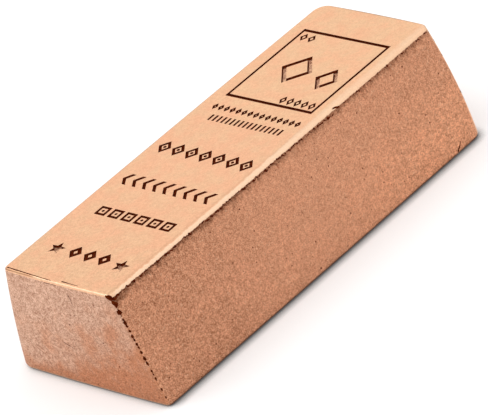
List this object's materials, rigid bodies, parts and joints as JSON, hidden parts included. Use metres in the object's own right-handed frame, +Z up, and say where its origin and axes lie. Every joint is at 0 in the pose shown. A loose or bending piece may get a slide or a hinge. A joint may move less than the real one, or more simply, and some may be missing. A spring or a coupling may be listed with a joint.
{
  "type": "copper ingot",
  "caption": "Short copper bar of trapezoid section with square ends, for stacking, storing and remelting.",
  "frame": {"origin": "middle of the foot, on the surface that the bar rests on", "axes": "+X along the bar, +Y across it, +Z up from the wide foot to the narrow top"},
  "size_m": [0.0814, 0.0352, 0.0207],
  "materials": {
    "copper": "satin"
  },
  "bodies": {
    "root": {"ingot": "copper"}
  },
  "joints": []
}
